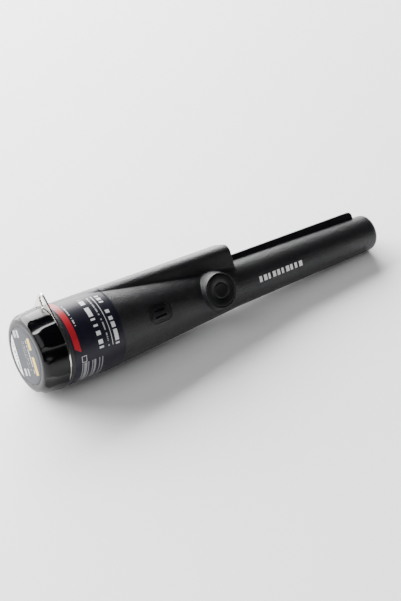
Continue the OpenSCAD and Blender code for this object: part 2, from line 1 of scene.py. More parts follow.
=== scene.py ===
"""Looks of a pinpointer probe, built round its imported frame.

Shapes are worked out in the tool's own frame, in millimetres: +X runs from the cap to the
tip, -Y faces the button and +Z faces the scraper blade. place() takes them to the row frame.
"""
import json
import math

import bpy
import numpy as np
from bpy.props import FloatProperty, FloatVectorProperty, IntProperty, PointerProperty, StringProperty
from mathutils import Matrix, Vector


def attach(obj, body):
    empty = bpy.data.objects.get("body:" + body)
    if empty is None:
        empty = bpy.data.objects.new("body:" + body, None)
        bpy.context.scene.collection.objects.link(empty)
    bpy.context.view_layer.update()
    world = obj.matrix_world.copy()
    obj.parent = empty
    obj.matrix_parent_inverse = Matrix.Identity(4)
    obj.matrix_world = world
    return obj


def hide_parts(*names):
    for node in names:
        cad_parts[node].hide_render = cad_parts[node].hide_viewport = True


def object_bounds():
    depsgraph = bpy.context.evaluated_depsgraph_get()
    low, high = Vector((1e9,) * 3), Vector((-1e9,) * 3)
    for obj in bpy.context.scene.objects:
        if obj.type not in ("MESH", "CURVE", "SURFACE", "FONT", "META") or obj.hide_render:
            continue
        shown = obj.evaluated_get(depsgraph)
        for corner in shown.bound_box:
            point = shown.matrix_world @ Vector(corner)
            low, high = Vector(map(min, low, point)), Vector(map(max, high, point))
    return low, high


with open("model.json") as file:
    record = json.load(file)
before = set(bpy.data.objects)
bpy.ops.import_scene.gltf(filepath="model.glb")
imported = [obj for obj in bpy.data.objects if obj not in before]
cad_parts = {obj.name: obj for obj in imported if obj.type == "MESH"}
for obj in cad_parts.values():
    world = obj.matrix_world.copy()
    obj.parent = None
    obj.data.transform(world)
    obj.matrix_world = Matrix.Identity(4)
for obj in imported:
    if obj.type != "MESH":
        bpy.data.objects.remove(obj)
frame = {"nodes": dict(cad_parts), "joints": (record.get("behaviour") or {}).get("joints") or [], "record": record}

CAD_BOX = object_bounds()

bl_info = {
    "name": "Pinpointer Probe",
    "version": (1, 0, 0),
    "blender": (4, 5, 0),
    "location": "View3D > Sidebar > Probe",
    "description": "Builds the detailed pieces, finishes and stage of a pinpointer probe",
    "category": "Object",
}

# The tool's frame, from the joints: the cap turns about its length, the button slides inwards.
JOINTS = {joint["name"]: joint for joint in frame["joints"]}
ALONG = -np.array(JOINTS["cap_turn"]["axis"])
INWARD = np.array(JOINTS["button_press"]["axis"])
TOOL_AXES = np.stack([ALONG, INWARD, np.cross(ALONG, INWARD)])
TOOL_START = np.array(JOINTS["cap_turn"]["pos_m"])
# How far the cap moves out for each radian that it turns, in metres.
COUPLINGS = frame["record"]["behaviour"]["couplings"]
CAP_ADVANCE = next(item["ratio"] for item in COUPLINGS if item["joint"] == "cap_advance")
MM = 0.001


def place(points):
    """Takes points of the tool's frame, in mm, to the row frame, in metres."""
    return TOOL_START + MM * (np.asarray(points) @ TOOL_AXES)


def span(node):
    """Lowest and highest corner of a CAD node in the tool's frame, in mm."""
    mesh = frame["nodes"][node].data
    co = np.empty(3 * len(mesh.vertices))
    mesh.vertices.foreach_get("co", co)
    own = (co.reshape(-1, 3) - TOOL_START) @ TOOL_AXES.T / MM
    return own.min(0), own.max(0)


def middle(node):
    """Centre of a CAD node's box in the tool's frame, in mm."""
    low, high = span(node)
    return (low + high) / 2


# ---------------------------------------------------------------- sizes and colours

def length(name, description, default):
    """A length property; its default is given in millimetres."""
    return FloatProperty(name=name, description=description, default=default * MM, unit="LENGTH", precision=5)


def colour(name, description, default):
    """An sRGB colour property, as a hex string."""
    return StringProperty(name=name, description=description, default=default)


class ProbeSizes(bpy.types.PropertyGroup):
    """Sizes of the pieces' surfaces"""
    probe_radius: length("Probe radius", "Radius of the probe where the fairing ends", 12.9)
    tip_radius: length("Tip radius", "Radius of the probe at its tip", 10.45)
    tip_edge: length("Tip rounding", "Radius of the tip's rounded edge", 3.5)
    axis_drop: length("Axis drop", "How far the probe's axis hangs below the grip's at the fairing", 1.7)
    fairing_half_width: length("Fairing half width", "Half of the fairing's width", 9.4)
    fairing_taper: length("Fairing taper", "How much narrower the fairing is on each side at its rear", 1.8)
    fairing_edge: length("Fairing edge", "Radius along the fairing's upper edges", 4.9)
    fairing_front: length("Fairing front edge", "Radius of the fairing's front edge", 1.1)
    fairing_blend: length("Fairing blend", "Softness of the crease where the fairing meets the taper", 1.0)
    collar_land: length("Collar land", "Width of the flat land round the button", 0.7)
    collar_flare: length("Collar flare", "How far the collar's foot spreads", 1.5)
    collar_blend: length("Collar blend", "Softness of the crease where the collar meets the body", 1.2)
    cap_edge: length("Cap edge", "Radius of the cap's rounded rear edge", 4.1)
    cap_rear_radius: length("Cap rear radius", "Radius of the cap behind its rear edge", 21.5)
    flute_depth: length("Flute depth", "Depth of the cap's finger flutes", 0.8)
    flute_radius: length("Flute radius", "Radius of a flute's hollow", 8.0)
    flute_count: IntProperty(name="Flutes", description="Finger flutes round the cap", default=8, min=1)
    ring_edge: length("Ring edge", "Radius of the stamped ring's edges", 0.28)
    eye_radius: length("Eye radius", "Radius of the eye in the ring's ear", 2.2)
    ear_wall: length("Ear wall", "Width of metal round the eye", 1.8)
    grain: length("Grain", "Width of the moulded grain on the handle", 0.75)


class ProbeColours(bpy.types.PropertyGroup):
    """Colours of the visible finishes"""
    shell: colour("Shell", "Moulded shell", "#0d0d11")
    cap: colour("Cap", "Glossy cap", "#050508")
    film: colour("Film", "Grip label's ground", "#131220")
    stripe: colour("Stripe", "Grip label's stripe", "#b3202c")
    print_ink: colour("Print", "White printing", "#e8e8ea")
    end_film: colour("End film", "End label's ground", "#23272f")
    end_ink: colour("End print", "End label's yellow line", "#d8b84a")
    rubber: colour("Rubber", "Button", "#0a0b0d")
    nickel: colour("Nickel", "Lanyard ring", "#d9d6cf")


class ProbeStage(bpy.types.PropertyGroup):
    """Camera, floor and lights"""
    aim: FloatVectorProperty(name="Aim", description="Point that the camera looks at",
                             default=(-0.0051, -0.00072, 0.01245), subtype="TRANSLATION", precision=5)
    distance: FloatProperty(name="Distance", description="From the camera to its aim",
                            default=0.84674, unit="LENGTH")
    azimuth: FloatProperty(name="Azimuth", description="Camera's turn from the front, to the right",
                           default=math.radians(-34.71), subtype="ANGLE")
    elevation: FloatProperty(name="Elevation", description="Camera's angle above the floor",
                             default=math.radians(37.98), subtype="ANGLE")
    view_angle: FloatProperty(name="View angle", description="Camera's vertical angle of view",
                              default=math.radians(22.216), subtype="ANGLE")
    floor_colour: colour("Floor", "Floor", "#fbfbfc")


# ---------------------------------------------------------------- surfaces

def shown(name, data):
    """An object of the scene that shows the given data."""
    thing = bpy.data.objects.new(name, data)
    bpy.context.scene.collection.objects.link(thing)
    return thing


def make_mesh(name, points, faces, uv=None, sharp=None):
    """A smooth-shaded piece from points in the tool's frame and a list of faces; sharp is the
    angle in degrees past which an edge stays crisp."""
    mesh = bpy.data.meshes.new(name)
    mesh.from_pydata(place(points).tolist(), [], [list(face) for face in faces])
    mesh.polygons.foreach_set("use_smooth", np.ones(len(mesh.polygons), bool))
    if sharp is not None:
        mesh.set_sharp_from_angle(angle=math.radians(sharp))
    if uv is not None:
        corner = np.empty(len(mesh.loops), int)
        mesh.loops.foreach_get("vertex_index", corner)
        mesh.uv_layers.new(name="print").data.foreach_set("uv", np.asarray(uv)[corner].ravel())
    mesh.validate()
    return shown(name, mesh)


def surface(name, grid, around=False, closed=False, start_pole=False, end_pole=False, inside=None, uv=None,
            sharp=None):
    """A mesh over a grid of points [row, column]. around joins the last column to the first, closed
    joins the last row to the first, and a pole closes an end with a fan of triangles. The faces are
    turned to point away from the point inside, by the sign of the volume that they enclose."""
    rows, columns = grid.shape[:2]
    index = np.arange(rows * columns).reshape(rows, columns)
    right = np.roll(index, -1, 1) if around else index[:, 1:]
    left = index if around else index[:, :-1]
    if closed:
        below_left, below_right = np.roll(left, -1, 0), np.roll(right, -1, 0)
    else:
        left, below_left, right, below_right = left[:-1], left[1:], right[:-1], right[1:]
    quads = np.stack([left, right, below_right, below_left], -1).reshape(-1, 4)
    points = grid.reshape(-1, 3)
    faces = [quads]
    for wanted, ring, turn in ((start_pole, index[0], 1), (end_pole, index[-1], -1)):
        if wanted:
            pole = np.full(columns, len(points))
            points = np.vstack([points, points[ring].mean(0)])
            following = np.roll(ring, -1)
            fan = [pole, following, ring] if turn > 0 else [pole, ring, following]
            faces.append(np.stack(fan, -1))
    centre = points.mean(0) if inside is None else np.asarray(inside)
    corners = points[quads] - centre
    volume = np.einsum("ij,ij->i", np.cross(corners[:, 0], corners[:, 1]), corners[:, 2]).sum()
    volume += np.einsum("ij,ij->i", np.cross(corners[:, 0], corners[:, 2]), corners[:, 3]).sum()
    if volume < 0:
        faces = [face[:, ::-1] for face in faces]
    if uv is not None:
        uv = uv.reshape(-1, 2)
    return make_mesh(name, points, [f for block in faces for f in block.tolist()], uv, sharp)


def circle_angles(count):
    """count angles round a circle, in radians."""
    return np.arange(count) * 2 * math.pi / count


def ring_points(x, radius, angles, height=0.0):
    """Points at distance radius from the tool's axis, raised by height; angles start at the button's
    side and grow towards the blade."""
    x, radius, height, angles = np.broadcast_arrays(x, radius, height, angles)
    return np.stack([x, -radius * np.cos(angles), height + radius * np.sin(angles)], -1)


def revolved(name, profile, centre=(0.0, 0.0, 0.0), axis="along", columns=96, sharp=30, **ends):
    """A profile of [distance along the axis, radius] turned round an axis through centre: "along" is
    the tool's length and "button" points out through the button."""
    profile = np.asarray(profile, float)
    angle = circle_angles(columns)
    reach, radius = profile[:, :1], profile[:, 1:]
    across, up = radius * np.cos(angle), radius * np.sin(angle)
    if axis == "along":
        grid = np.stack([reach + 0 * across, across, up], -1)
    else:
        grid = np.stack([across, -reach + 0 * across, up], -1)
    return surface(name, grid + np.asarray(centre), around=True, sharp=sharp, **ends)


def spokes(angles):
    """Unit vectors in a plane at the given angles, in radians."""
    return np.stack([np.cos(angles), np.sin(angles)], -1)


def arc(centre, radius, start, end, count=6):
    """Points along a circle's arc between two angles in degrees, measured from the first axis."""
    return np.asarray(centre) + radius * spokes(np.radians(np.linspace(start, end, count)))


def smooth_max(a, b, softness):
    """The larger of two values, with the crease between them filled by a parabola."""
    near = np.maximum(softness - np.abs(a - b), 0) / softness
    return np.maximum(a, b) + near * near * softness / 4


def smooth_step(value, low, high):
    """0 below low, 1 above high and a smooth cubic between."""
    t = np.clip((value - low) / (high - low), 0, 1)
    return t * t * (3 - 2 * t)


def rounded_box(u, v, half_u, half_v, corner):
    """Signed distance to a rounded rectangle centred on the origin: negative inside."""
    du, dv = np.abs(u) - half_u + corner, np.abs(v) - half_v + corner
    return np.hypot(np.maximum(du, 0), np.maximum(dv, 0)) + np.minimum(np.maximum(du, dv), 0) - corner


class Tool:
    """Stations and radii of the tool in mm, read from the frame's nodes and the scene's sizes."""

    def __init__(self):
        sizes = bpy.context.scene.probe_sizes
        for name in ProbeSizes.__annotations__:
            value = getattr(sizes, name)
            setattr(self, name, value if name == "flute_count" else value / MM)
        label_low, label_high = span("body_label")
        lens_low, lens_high = span("lamp_lens")
        self.label_t = 0.12
        self.grip_r = (label_high[1] - label_low[1]) / 2 - self.label_t
        self.label_x, self.label_end = label_low[0], label_high[0]
        self.grip_end = self.label_end - 8.5
        self.ring_low, self.ring_high = span("lanyard_ring")
        self.body_x = self.ring_high[0] + 0.1
        self.lens_z = (lens_low[2] + lens_high[2]) / 2
        self.lens_r = (lens_high[1] - lens_low[1]) / 2
        self.face_x = lens_high[0] - 1.2
        self.tip_x = span("body_shell")[1][0] - self.tip_edge
        self.fairing_x = self.grip_end + 3
        self.fairing_top = span("body_shell")[1][2]
        self.button_low, self.button_high = span("button_boot")
        self.button = (self.button_low + self.button_high) / 2
        self.button_r = (self.button_high[0] - self.button_low[0]) / 2
        self.grille = middle("speaker_grille")

    def radius(self, x):
        """Radius of the plain body: a straight grip, a straight taper, then the probe."""
        return np.interp(x, [self.grip_end, self.face_x, self.tip_x],
                         [self.grip_r, self.probe_radius, self.tip_radius])

    def height(self, x):
        """Height of the body's centre line: level, sinking to the fairing's front, then rising to the tip."""
        return np.interp(x, [self.grip_end, self.face_x, self.tip_x], [0, -self.axis_drop, 0])

    def fairing_reach(self, x, angle, inset):
        """Distance from the centre line to a rounded rectangle that stands on it: the nearer of its
        side and its top, or its round corner where the ray passes through one."""
        side, up = np.abs(np.cos(angle)), np.sin(angle)
        narrowed = self.fairing_taper * (self.face_x - x) / (self.face_x - self.fairing_x)
        half = np.maximum(self.fairing_half_width - np.maximum(narrowed, 0) - inset, 0.05)
        top = self.fairing_top - inset - self.height(x)
        corner = np.minimum(np.maximum(self.fairing_edge - inset, 0.04), half) * np.ones_like(side)
        corner_y, corner_z = half - corner, top - corner
        level = np.minimum(half / np.maximum(side, 1e-6), top / np.maximum(up, 1e-6))
        along = corner_y * side + corner_z * up
        root = along**2 - corner_y**2 - corner_z**2 + corner**2
        rounded = along + np.sqrt(np.maximum(root, 0))
        turns = (root > 0) & (rounded * side > corner_y) & (rounded * up > corner_z)
        return np.where(up > 0.05, np.where(turns, rounded, level), 0.0)

    def skin(self, x, angle, inset=0.0, drawn=0.0):
        """Distance from the centre line to the shell's surface: the smooth larger of the plain body and
        the fairing, whose crease softens away from the grip."""
        softness = 0.02 + self.fairing_blend * smooth_step(x, self.fairing_x, self.fairing_x + 30)
        return smooth_max(self.radius(x) - drawn + 0 * angle, self.fairing_reach(x, angle, inset), softness)

    def side_depth(self, x, z):
        """Distance of the plain body's surface from the axis, seen square to the button."""
        return np.sqrt(np.maximum(self.radius(x) ** 2 - (z - self.height(x)) ** 2, 0.01))


# ---------------------------------------------------------------- materials

def linear(hex_colour):
    """An sRGB hex colour as linear RGBA."""
    channels = [int(hex_colour[i:i + 2], 16) / 255 for i in (1, 3, 5)]
    return [c / 12.92 if c <= 0.04045 else ((c + 0.055) / 1.055) ** 2.4 for c in channels] + [1.0]


def add(tree, kind, inputs=None, **settings):
    """Adds a node with its settings, and gives each named input a value or a link."""
    node = tree.nodes.new(kind)
    for name, value in settings.items():
        setattr(node, name, value)
    for key, value in (inputs or {}).items():
        if isinstance(value, bpy.types.NodeSocket):
            tree.links.new(value, node.inputs[key])
        else:
            node.inputs[key].default_value = value
    return node


def new_material(name, **shader_inputs):
    """A material with one Principled shader, its inputs set by name; returns it, its tree and shader."""
    material = bpy.data.materials.new(name)
    material.use_nodes = True
    tree = material.node_tree
    tree.nodes.clear()
    inputs = {key.replace("_", " ").title().replace("Ior", "IOR"): value
              for key, value in shader_inputs.items()}
    shader = add(tree, "ShaderNodeBsdfPrincipled", inputs)
    add(tree, "ShaderNodeOutputMaterial", {"Surface": shader.outputs[0]})
    return material, tree, shader


def maths(tree, operation, *values):
    """The result of one sum on values or links."""
    return add(tree, "ShaderNodeMath", dict(enumerate(values)), operation=operation).outputs[0]


def object_place(tree):
    """The shaded point in the object's own space."""
    return add(tree, "ShaderNodeTexCoord").outputs["Object"]


def raised(tree, shader, height, depth, strength=1.0):
    """Lets a texture's value raise a shader's surface by depth mm."""
    bump = add(tree, "ShaderNodeBump", {"Height": height, "Strength": strength, "Distance": depth * MM})
    tree.links.new(bump.outputs[0], shader.inputs["Normal"])


def grained(tree, shader, width, depth, roughness, spread, detail=3.0):
    """Gives a shader a moulded grain: noise of the given width in mm raises the surface by depth mm
    and varies its roughness."""
    noise = add(tree, "ShaderNodeTexNoise", {"Vector": object_place(tree), "Scale": 1 / (width * MM),
                                             "Detail": detail, "Roughness": 0.6})
    raised(tree, shader, noise.outputs[0], depth)
    gloss = add(tree, "ShaderNodeMapRange", {"Value": noise.outputs[0], "From Min": 0.3, "From Max": 0.7,
                                             "To Min": roughness - spread, "To Max": roughness + spread})
    tree.links.new(gloss.outputs[0], shader.inputs["Roughness"])


def mark(tree, u, v, box):
    """1 inside a rectangle (u low, u high, v low, v high) and 0 outside it."""
    across = maths(tree, "COMPARE", u, (box[0] + box[1]) / 2, (box[1] - box[0]) / 2)
    down = maths(tree, "COMPARE", v, (box[2] + box[3]) / 2, (box[3] - box[2]) / 2)
    return maths(tree, "MULTIPLY", across, down)


def dashes(tree, u, v, box, pitch, filled, seed):
    """A row of plain bars of uneven length inside a rectangle: each cell of the given pitch along v
    is printed where its random number is below filled."""
    cell = maths(tree, "SNAP", v, pitch)
    chance = add(tree, "ShaderNodeTexWhiteNoise", {"W": cell, "Vector": (seed, 0.0, 0.0)},
                 noise_dimensions="4D")
    printed = maths(tree, "LESS_THAN", chance.outputs[0], filled)
    return maths(tree, "MULTIPLY", printed, mark(tree, u, v, box))


def inked(tree, ground, layers):
    """Prints layers of (mask, strength, colour) over a ground colour."""
    shade = ground
    for mask, strength, ink in layers:
        amount = maths(tree, "MULTIPLY", mask, strength)
        mix = add(tree, "ShaderNodeMix", {"Factor": amount, "A": shade, "B": linear(ink)}, data_type="RGBA")
        shade = mix.outputs["Result"]
    return shade


def textured_abs():
    """ABS moulded against a spark-eroded tool: a fine matt grain that sparkles under a lamp. The real
    grain is about 0.2 mm wide; it is drawn at the size's grain so that it shows."""
    colours, sizes = bpy.context.scene.probe_colours, bpy.context.scene.probe_sizes
    material, tree, shader = new_material("Textured black ABS", base_color=linear(colours.shell), ior=1.54)
    grained(tree, shader, sizes.grain / MM, 0.4, 0.42, 0.14, 2.0)
    return material


def gloss_abs():
    """ABS moulded against a polished tool: deep black with clear soft highlights."""
    material, tree, shader = new_material("Polished black ABS", ior=1.54, specular_ior_level=0.22,
                                          base_color=linear(bpy.context.scene.probe_colours.cap))
    grained(tree, shader, 2.5, 0.02, 0.2, 0.04)
    return material


def satin_abs(name, hex_colour, roughness):
    """ABS or nylon with a plain satin moulded surface and a faint waviness."""
    material, tree, shader = new_material(name, base_color=linear(hex_colour), ior=1.53)
    grained(tree, shader, 1.2, 0.012, roughness, 0.05)
    return material


def silicone_rubber():
    """Moulded silicone rubber: matt, dark grey-green."""
    material, tree, shader = new_material("Moulded silicone rubber", ior=1.41,
                                          base_color=linear(bpy.context.scene.probe_colours.rubber))
    grained(tree, shader, 0.7, 0.02, 0.42, 0.08)
    return material


def nickel_plate():
    """Bright nickel over stamped steel: mirror-like with a faint orange peel from the plating."""
    material, tree, shader = new_material("Bright nickel plate", metallic=1.0,
                                          base_color=linear(bpy.context.scene.probe_colours.nickel))
    grained(tree, shader, 1.5, 0.006, 0.16, 0.05)
    return material


def metal(name, hex_colour, roughness):
    """Plain drawn or turned metal with fine wear."""
    material, tree, shader = new_material(name, metallic=1.0, base_color=linear(hex_colour))
    grained(tree, shader, 0.5, 0.004, roughness, 0.06)
    return material


def clear_polycarbonate():
    """Injection-moulded clear polycarbonate, polished."""
    return new_material("Clear polycarbonate", base_color=linear("#f2f6f8"), ior=1.585, roughness=0.04,
                        transmission_weight=0.85)[0]


def wound_wire():
    """Enamelled copper wire wound in close turns. The real wire is 0.1 mm thick; the turns are drawn
    0.6 mm wide so that they show, square to the coil's length."""
    material, tree, shader = new_material("Enamelled copper windings", base_color=linear("#a8602a"),
                                          metallic=0.6, roughness=0.3, coat_weight=0.5)
    turns = add(tree, "ShaderNodeTexWave", {"Vector": object_place(tree), "Scale": 1 / (0.6 * MM) / 20,
                                            "Distortion": 0.0}, bands_direction="X")
    raised(tree, shader, turns.outputs[1], 0.1)
    return material


def closed_foam():
    """Closed-cell foam: dull, with bubbles about 1 mm across."""
    material, tree, shader = new_material("Closed-cell foam", base_color=linear("#3a3a3c"), roughness=0.9)
    cells = add(tree, "ShaderNodeTexVoronoi", {"Vector": object_place(tree), "Scale": 1 / MM})
    raised(tree, shader, cells.outputs[0], 0.2, 0.8)
    return material


def printed_film(name, ground, roughness, layers_from):
    """Polyester film printed on its face under a satin varnish; layers_from draws the printing from
    the piece's own UV map, whose units are given where the piece is made."""
    material, tree, shader = new_material(name, ior=1.46, specular_ior_level=0.35)
    own = add(tree, "ShaderNodeUVMap", uv_map="print")
    split = add(tree, "ShaderNodeSeparateXYZ", {0: own.outputs[0]})
    u, v = split.outputs[0], split.outputs[1]
    shade = inked(tree, linear(ground), layers_from(tree, u, v))
    tree.links.new(shade, shader.inputs["Base Color"])
    noise = add(tree, "ShaderNodeTexNoise", {"Vector": object_place(tree), "Scale": 1 / (1.4 * MM)})
    raised(tree, shader, noise.outputs[0], 0.02)
    shader.inputs["Roughness"].default_value = roughness
    return material


PRINT_MM, PRINT_DEGREES = 100, 400  # what one unit of a label's own map stands for


def grip_print(tree, u, v):
    """The grip label's plain graphics. u is mm along the tool over PRINT_MM and v is degrees from the
    button towards the blade over PRINT_DEGREES, plus a half."""
    colours = bpy.context.scene.probe_colours

    def box(x0, x1, low, high):
        return x0 / PRINT_MM, x1 / PRINT_MM, low / PRINT_DEGREES + 0.5, high / PRINT_DEGREES + 0.5

    pitch = 1 / PRINT_DEGREES
    white = colours.print_ink
    above = maths(tree, "GREATER_THAN", maths(tree, "MULTIPLY_ADD", u, 0.45, v), 0.5 + 0.08 - 6 * pitch)
    slanted = maths(tree, "MULTIPLY", above, mark(tree, u, v, box(17.9, 21.3, -20, 130)))
    return [
        (slanted, 0.9, colours.stripe),
        (dashes(tree, u, v, box(22.4, 23.2, 22, 64), 1.2 * pitch, 0.6, 1.0), 0.65, white),
        (dashes(tree, u, v, box(32.0, 34.6, -18, 64), 3.1 * pitch, 0.68, 2.0), 0.9, white),
        (dashes(tree, u, v, box(37.2, 38.0, -18, 63), 1.3 * pitch, 0.6, 3.0), 0.5, white),
        (mark(tree, u, v, box(39.8, 40.2, -18, 63)), 0.8, white),
        (dashes(tree, u, v, box(41.8, 44.2, -19, 62), 2.7 * pitch, 0.7, 4.0), 0.9, white),
        (mark(tree, u, v, box(21.0, 24.0, -29, -19)), 0.5, white),
        (mark(tree, u, v, box(21.4, 23.6, -28, -20)), 1.0, colours.film),
        (dashes(tree, v, u, (-80 * pitch + 0.5, -30 * pitch + 0.5, 0.20, 0.34), 0.006, 0.5, 5.0), 0.3, white),
    ]


def end_print(tree, u, v):
    """The end label's plain graphics. u and v are mm away from the button and up towards the blade,
    over PRINT_MM, plus a half."""
    colours = bpy.context.scene.probe_colours

    def box(y0, y1, z0, z1):
        return tuple(side / PRINT_MM + 0.5 for side in (y0, y1, z0, z1))

    return [
        (dashes(tree, u, v, box(-9.2, -6.4, -10.5, 9.5), 0.019, 0.85, 7.0), 1.0, colours.end_ink),
        (dashes(tree, u, v, box(-5.0, -4.4, -9.5, 8.5), 0.007, 0.75, 6.0), 0.7, colours.print_ink),
        (mark(tree, u, v, (0.605, 0.7, 0.0, 1.0)), 1.0, colours.print_ink),
        (dashes(tree, u, v, box(11.8, 13.0, -7.5, 7.5), 0.009, 0.6, 3.0), 1.0, colours.end_film),
        (dashes(tree, u, v, box(-1.6, -1.2, -8, 8), 0.005, 0.6, 8.0), 0.4, colours.print_ink),
        (dashes(tree, u, v, box(0.4, 0.8, -8, 8), 0.005, 0.6, 9.0), 0.4, colours.print_ink),
        (dashes(tree, v, u, (0.39, 0.43, 0.52, 0.58), 0.007, 0.6, 4.0), 0.6, colours.print_ink),
        (dashes(tree, v, u, (0.60, 0.64, 0.52, 0.58), 0.007, 0.6, 5.0), 0.6, colours.print_ink),
    ]


def probe_materials():
    """Every finish, by the record's material slot."""
    colours = bpy.context.scene.probe_colours
    return {
        "shell_plastic": textured_abs(),
        "blade_plastic": satin_abs("Satin black ABS", "#0a0a0f", 0.36),
        "cap_plastic": gloss_abs(),
        "trim_plastic": satin_abs("Satin charcoal ABS", "#0d0d11", 0.4),
        "button_rubber": silicone_rubber(),
        "nickel_plate": nickel_plate(),
        "label_film": printed_film("Printed polyester film", colours.film, 0.42, grip_print),
        "end_film": printed_film("Printed end film", colours.end_film, 0.4, end_print),
        "lens_clear": clear_polycarbonate(),
        "lamp_epoxy": satin_abs("Clear lamp epoxy", "#e9ece8", 0.12),
        "tinned_copper": metal("Tinned copper wire", "#c9cacc", 0.3),
        "white_nylon": satin_abs("Natural nylon", "#dedbd0", 0.45),
        "chip_plastic": satin_abs("Filled epoxy chip body", "#1a1a1c", 0.6),
        "steel_parts": metal("Zinc-plated steel", "#b5b8ba", 0.32),
        "seal_rubber": satin_abs("Nitrile rubber", "#141416", 0.55),
        "foam": closed_foam(),
        "battery_jacket": metal("Lacquered steel jacket", "#35414c", 0.35),
        "board_plain": satin_abs("Phenolic board", "#7b5a32", 0.5),
        "lead_sleeve": satin_abs("Red wire sleeve", "#a3262a", 0.4),
        "inner_plastic": satin_abs("Grey nylon", "#303236", 0.5),
        "board_mask": satin_abs("Green solder mask", "#1f5a38", 0.25),
        "capacitor_sleeve": satin_abs("Blue shrink sleeve", "#2f4a6b", 0.3),
        "trimmer_blue": satin_abs("Blue nylon", "#2c5fa3", 0.45),
        "brass_parts": metal("Turned brass", "#cdb25a", 0.28),
        "sounder_plastic": satin_abs("Black sounder case", "#202022", 0.5),
        "tungsten": metal("Sintered tungsten", "#85878b", 0.4),
        "potting": satin_abs("Potting resin", "#3b2f22", 0.15),
        "former_plastic": satin_abs("Ivory acetal", "#cfc9b8", 0.45),
        "ferrite": satin_abs("Pressed ferrite", "#3a3b3d", 0.7),
        "enamelled_wire": wound_wire(),
        "ink": satin_abs("White pad-printing ink", colours.print_ink, 0.5),
    }


def finish_piece(piece, body, slot, *replaced):
    """Gives a piece its slot's material, its body and the CAD nodes that it stands for."""
    piece.data.materials.append(MATERIALS[slot])
    if replaced:
        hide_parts(*replaced)
    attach(piece, body)


MATERIALS = {}


# ---------------------------------------------------------------- pieces

class PROBE_OT_finishes(bpy.types.Operator):
    """Makes the finishes and gives every CAD node the one for its slot"""
    bl_idname = "probe.finishes"
    bl_label = "Finishes"

    def execute(self, context):
        MATERIALS.update(probe_materials())
        for part in frame["record"]["subparts"]:
            mesh = frame["nodes"][part["node"]].data
            mesh.materials.clear()
            mesh.materials.append(MATERIALS[part["material_slot"]])
        return {"FINISHED"}


class PROBE_OT_shell(bpy.types.Operator):
    """Makes the shell: grip, taper with its fairing, and probe, as one surface"""
    bl_idname = "probe.shell"
    bl_label = "Shell"

    def execute(self, context):
        """Each row is a ring round the centre line. Its radius is the smooth larger of the plain body's
        radius and the fairing's rounded rectangle. Along the fairing's front edge the rectangle shrinks by
        inset as x follows a quarter circle, then shrinks to nothing over the front face."""
        tool = Tool()
        grille_low, grille_high = span("speaker_grille")
        edge, front, bevel = tool.tip_edge, tool.fairing_front, 0.4
        gone, margin = 14.0, 2.5  # an inset that buries the fairing; close rows either side of the panel
        quarter = np.radians(np.linspace(0, 90, 7))
        stations = [  # x, how far the body is drawn in, how far the fairing is drawn in
            (tool.body_x + 0 * quarter[:2], [3.0, 1.2], [gone, gone]),
            (tool.body_x + bevel * (1 - np.cos(quarter)), bevel * (1 - np.sin(quarter)), gone + 0 * quarter),
        ]
        plain = np.arange(tool.body_x + 2, tool.fairing_x, 2.0)
        stations.append((plain, 0 * plain, gone + 0 * plain))
        taper = np.concatenate([np.arange(tool.fairing_x, grille_low[0] - margin, 1.0),
                                np.arange(grille_low[0] - margin, grille_high[0] + margin, 0.4),
                                np.arange(grille_high[0] + margin, tool.face_x - front - 0.3, 1.2)])
        stations.append((taper, 0 * taper, 0 * taper))
        stations.append((tool.face_x - front + front * np.sin(quarter), 0 * quarter,
                         front * (1 - np.cos(quarter))))
        shrink = np.linspace(0, 1, 18)[1:]
        stations.append((tool.face_x + 0.12 * shrink, 0 * shrink, front + (gone - front) * shrink**0.9))
        probe = np.linspace(tool.face_x + 0.6, tool.tip_x, 62)
        stations.append((probe, 0 * probe, gone + 0 * probe))
        nose = np.radians(np.linspace(0, 90, 10))[1:]
        end_r = tool.tip_radius - edge
        stations.append((tool.tip_x + edge * np.sin(nose), edge * (1 - np.cos(nose)), gone + 0 * nose))
        flat = np.linspace(0, 1, 7)[1:-1]
        stations.append((tool.tip_x + edge + 0 * flat, edge + end_r * flat, gone + 0 * flat))
        x = np.concatenate([s[0] for s in stations])[:, None]
        drawn = np.concatenate([s[1] for s in stations])[:, None]
        inset = np.concatenate([s[2] for s in stations])[:, None]
        turn = circle_angles(312) - math.pi
        angle = math.pi / 2 + turn - 0.42 * np.sin(turn)
        radius = tool.skin(x, angle, inset, drawn)
        # the panel behind the button sits in a hollow under its own surface
        across = rounded_box(x - tool.grille[0], tool.height(x) + radius * np.sin(angle),
                             (grille_high[0] - grille_low[0]) / 2, (grille_high[2] - grille_low[2]) / 2, 2.2)
        hollow = 1.8 * (1 - smooth_step(across, 0.45, 1.0)) * (np.cos(angle) > 0)
        outer = ring_points(x, radius - hollow, angle, tool.height(x))
        # the bore for battery, board and coil, from the tip back to the rear face
        end = tool.tip_x - 2.5
        bore_x = np.array([end, end, 128.0, 126.9, 95.0, 60.0, 60.0, tool.body_x])[:, None]
        bore_r = np.array([0.4, 8.2, 8.2, 10.0, 12.6, 15.6, 16.3, 16.3])[:, None]
        inner = ring_points(bore_x, bore_r, angle, tool.height(bore_x))
        shell = surface("shell", np.concatenate([outer, inner]), around=True, closed=True, sharp=50)
        finish_piece(shell, "housing", "shell_plastic", "body_shell")
        return {"FINISHED"}


